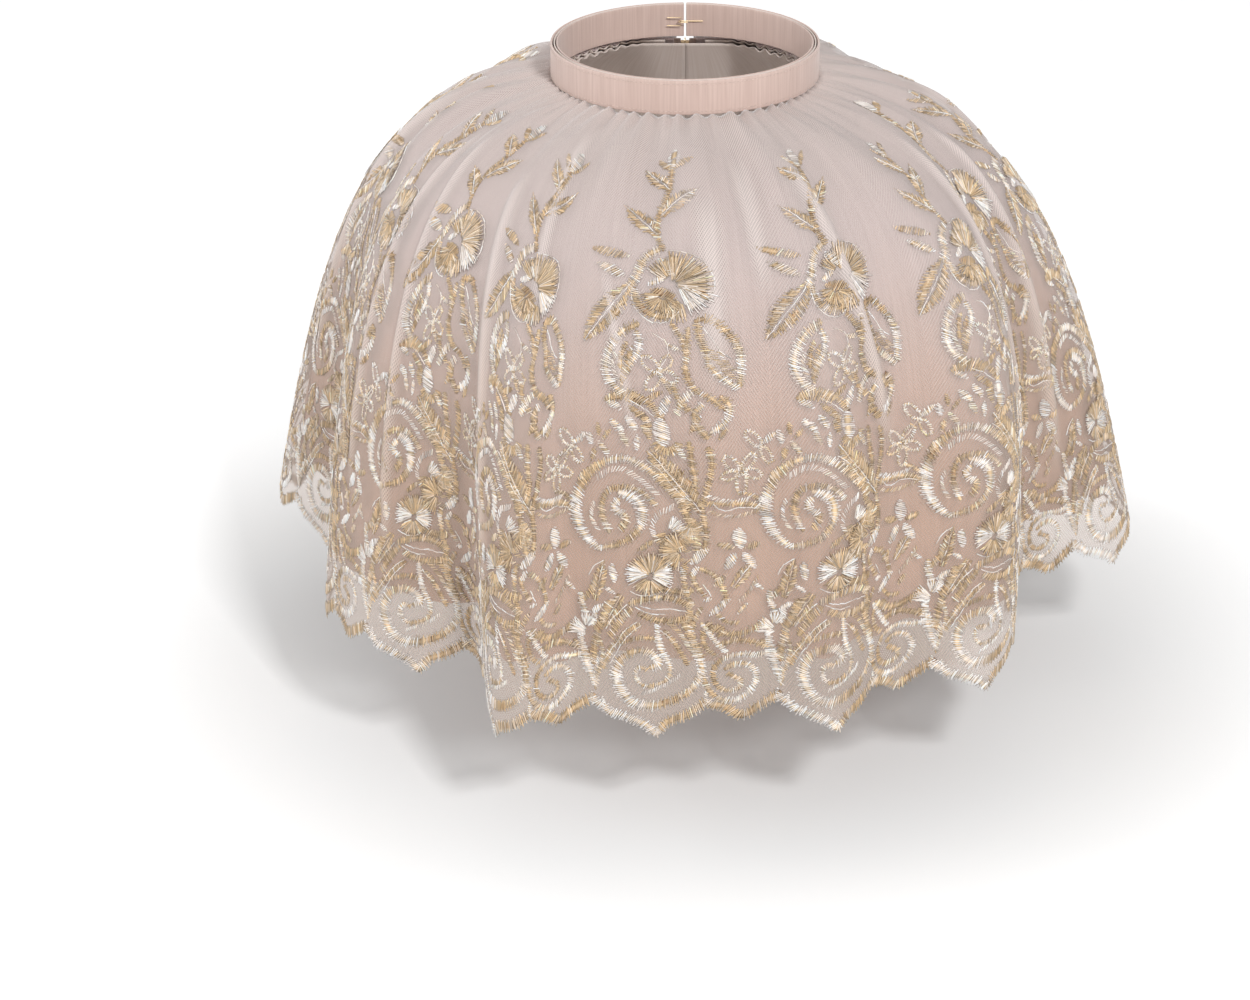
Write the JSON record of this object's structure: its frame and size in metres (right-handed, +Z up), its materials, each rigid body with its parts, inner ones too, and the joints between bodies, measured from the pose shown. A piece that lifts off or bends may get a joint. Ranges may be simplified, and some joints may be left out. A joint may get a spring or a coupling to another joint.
{
  "type": "dress skirt",
  "caption": "Bell-shaped gathered child's dress skirt in embroidered net with a scalloped hem, over a shorter lining, petticoat and slip, on a waistband with a back zip.",
  "frame": {"origin": "centre of the waist opening, level with the waistband's top edge", "axes": "+Z up the wearer's body, -Y to the front of the skirt, +X to the viewer's right from the front"},
  "size_m": [0.647, 0.607, 0.3916],
  "materials": {
    "embroidered_net": "matte",
    "satin_lining": "satin",
    "petticoat_net": "matte",
    "cotton_slip": "matte",
    "satin_band": "satin",
    "zip_tape": "matte",
    "zip_teeth": "satin",
    "pale_brass": "satin"
  },
  "bodies": {
    "skirt": {"overlay_front": "embroidered_net", "overlay_back_left": "embroidered_net", "overlay_back_right": "embroidered_net", "lining_front": "satin_lining", "lining_back_left": "satin_lining", "lining_back_right": "satin_lining", "petticoat_yoke": "cotton_slip", "petticoat_flounce": "petticoat_net", "slip": "cotton_slip", "waistband_outer": "satin_band", "waistband_stay": "cotton_slip", "waistband_facing": "satin_lining", "zip_tape_left": "zip_tape", "zip_tape_right": "zip_tape", "zip_teeth_left": "zip_teeth", "zip_teeth_right": "zip_teeth", "zip_bottom_stop": "pale_brass", "zip_top_stop_left": "pale_brass", "zip_top_stop_right": "pale_brass", "waist_hook": "pale_brass", "waist_eye": "pale_brass"},
    "slider": {"zip_slider": "pale_brass"},
    "pull": {"zip_pull": "pale_brass"}
  },
  "joints": [
    {"name": "zip_slide", "type": "slide", "parent": "skirt", "child": "slider", "axis": [0, 0.7751, -0.6318], "range_m": [0, 0.122]},
    {"name": "pull_hinge", "type": "hinge", "parent": "slider", "child": "pull", "pos_m": [0, 0.10805, -0.03329], "axis": [1, 0, 0], "range_deg": [0, 150]}
  ]
}
